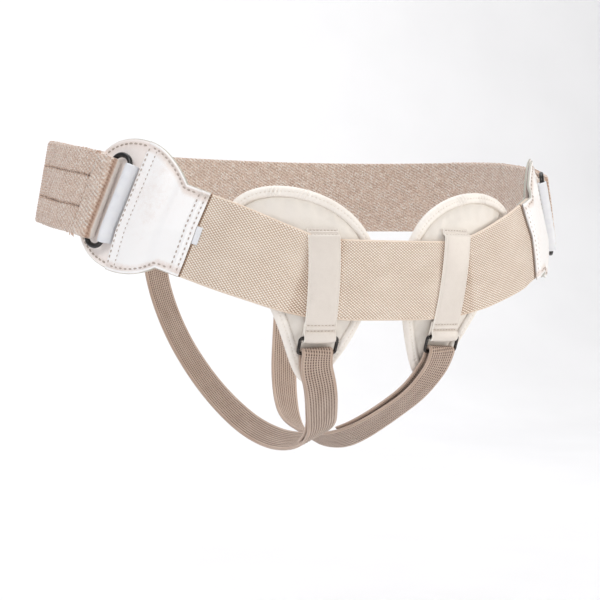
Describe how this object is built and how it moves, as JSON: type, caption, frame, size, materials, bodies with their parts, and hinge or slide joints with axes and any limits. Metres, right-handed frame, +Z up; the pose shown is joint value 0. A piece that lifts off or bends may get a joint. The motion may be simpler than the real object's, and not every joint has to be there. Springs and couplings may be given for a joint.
{
  "type": "double hernia belt",
  "caption": "Elastic hip belt with egg-shaped pads held by straps over the front, ring-fastened back strap and ribbed leg straps, in its worn form.",
  "frame": {"origin": "centre of the waist opening, at the height of the two side rings", "axes": "+Z up, the front belt and pads face -Y, +X is the right of a viewer in front"},
  "size_m": [0.3484, 0.2458, 0.1993],
  "materials": {
    "elastic": "woven elastic with a fine diamond pattern of lighter dots",
    "loop_pile": "brushed loop pile on webbing, with two lengthwise stitched lines",
    "ribbon": "white satin ribbon",
    "patch_base": "pinkish cream leatherette",
    "patch_panel": "white leatherette, softly padded",
    "pad_cover": "cream leatherette over foam",
    "binding": "lighter leatherette binding, stitched",
    "strap_leather": "cream leatherette with light cut edges",
    "ribbed_elastic": "ribbed buttonhole elastic",
    "black_metal": "black lacquered wire",
    "gunmetal": "dark gunmetal wire"
  },
  "bodies": {
    "root": {"front_belt": "elastic", "back_strap": "loop_pile", "size_tab": "ribbon", "patch_base_right": "patch_base", "patch_base_left": "patch_base", "patch_panel_right": "patch_panel", "patch_panel_left": "patch_panel", "side_ring_right": "black_metal", "side_ring_left": "black_metal", "ring_ribbon_right": "ribbon", "ring_ribbon_left": "ribbon", "pad_right": "pad_cover", "pad_left": "pad_cover", "pad_binding_right": "binding", "pad_binding_left": "binding", "pad_strap_right": "strap_leather", "pad_strap_left": "strap_leather", "leg_ring_right": "gunmetal", "leg_ring_left": "gunmetal", "leg_strap_right": "ribbed_elastic", "leg_strap_left": "ribbed_elastic"}
  },
  "joints": []
}
